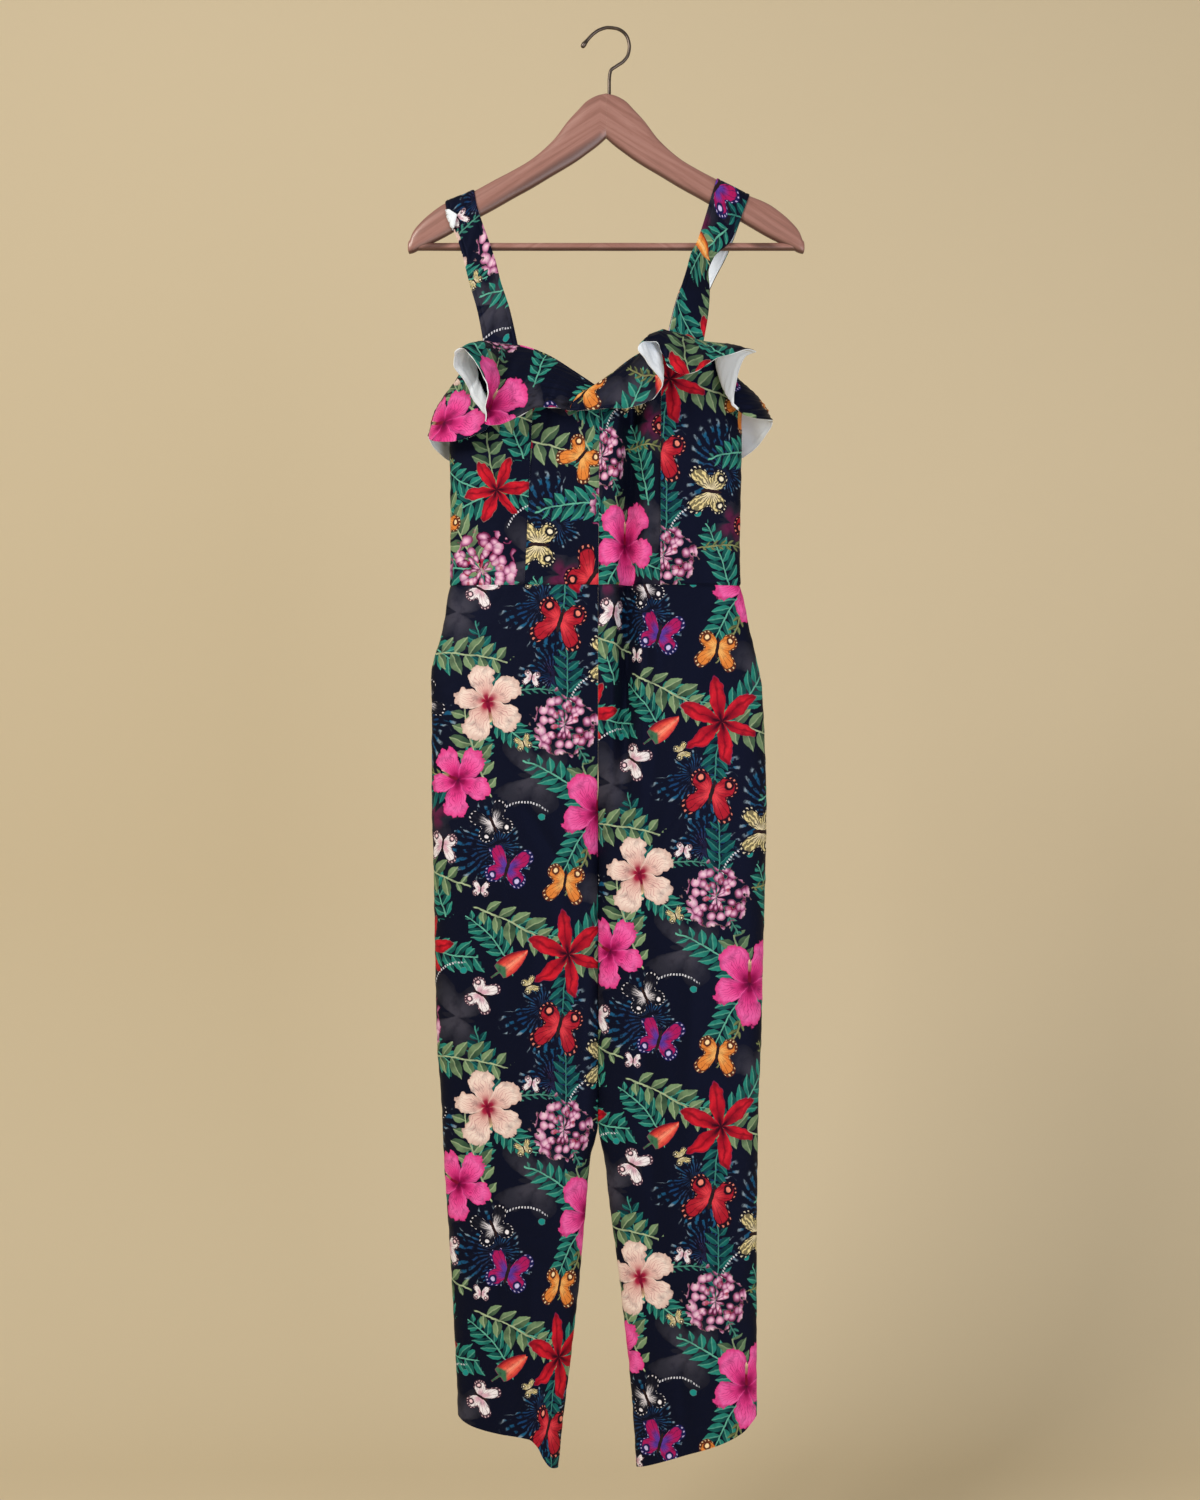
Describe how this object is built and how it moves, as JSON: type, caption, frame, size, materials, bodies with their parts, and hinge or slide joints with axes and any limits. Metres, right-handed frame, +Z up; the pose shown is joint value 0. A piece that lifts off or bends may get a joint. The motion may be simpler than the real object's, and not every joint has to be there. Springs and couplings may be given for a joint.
{
  "type": "jumpsuit on clothes hanger",
  "caption": "Sleeveless floral jumpsuit with wide straps, a flounced sweetheart neckline and tapered legs, held on a wooden clothes hanger.",
  "frame": {"origin": "inside the crown of the hanger's hook, where a rail bears", "axes": "+Z up, -Y towards the viewer of the garment's front, +X to that viewer's right"},
  "size_m": [0.446, 0.1659, 1.6348],
  "materials": {
    "printed_crepe": "matt stretch crepe, printed with flowers, leaves and butterflies on navy black, pale on its underside",
    "hanger_wood": "reddish stained beech with a satin varnish",
    "hook_wire": "dark gunmetal plated wire"
  },
  "bodies": {
    "root": {"bodice_front_side_left": "printed_crepe", "bodice_front_centre_left": "printed_crepe", "bodice_front_centre_right": "printed_crepe", "bodice_front_side_right": "printed_crepe", "bodice_back_side_left": "printed_crepe", "bodice_back_centre_left": "printed_crepe", "bodice_back_centre_right": "printed_crepe", "bodice_back_side_right": "printed_crepe", "leg_front_left": "printed_crepe", "leg_front_right": "printed_crepe", "leg_back_left": "printed_crepe", "leg_back_right": "printed_crepe", "flounce_front_left": "printed_crepe", "flounce_front_right": "printed_crepe", "flounce_back_left": "printed_crepe", "flounce_back_right": "printed_crepe", "strap_left": "printed_crepe", "strap_right": "printed_crepe", "hanger_arm_left": "hanger_wood", "hanger_arm_right": "hanger_wood", "hanger_bar": "hanger_wood", "hanger_hook": "hook_wire"}
  },
  "joints": []
}
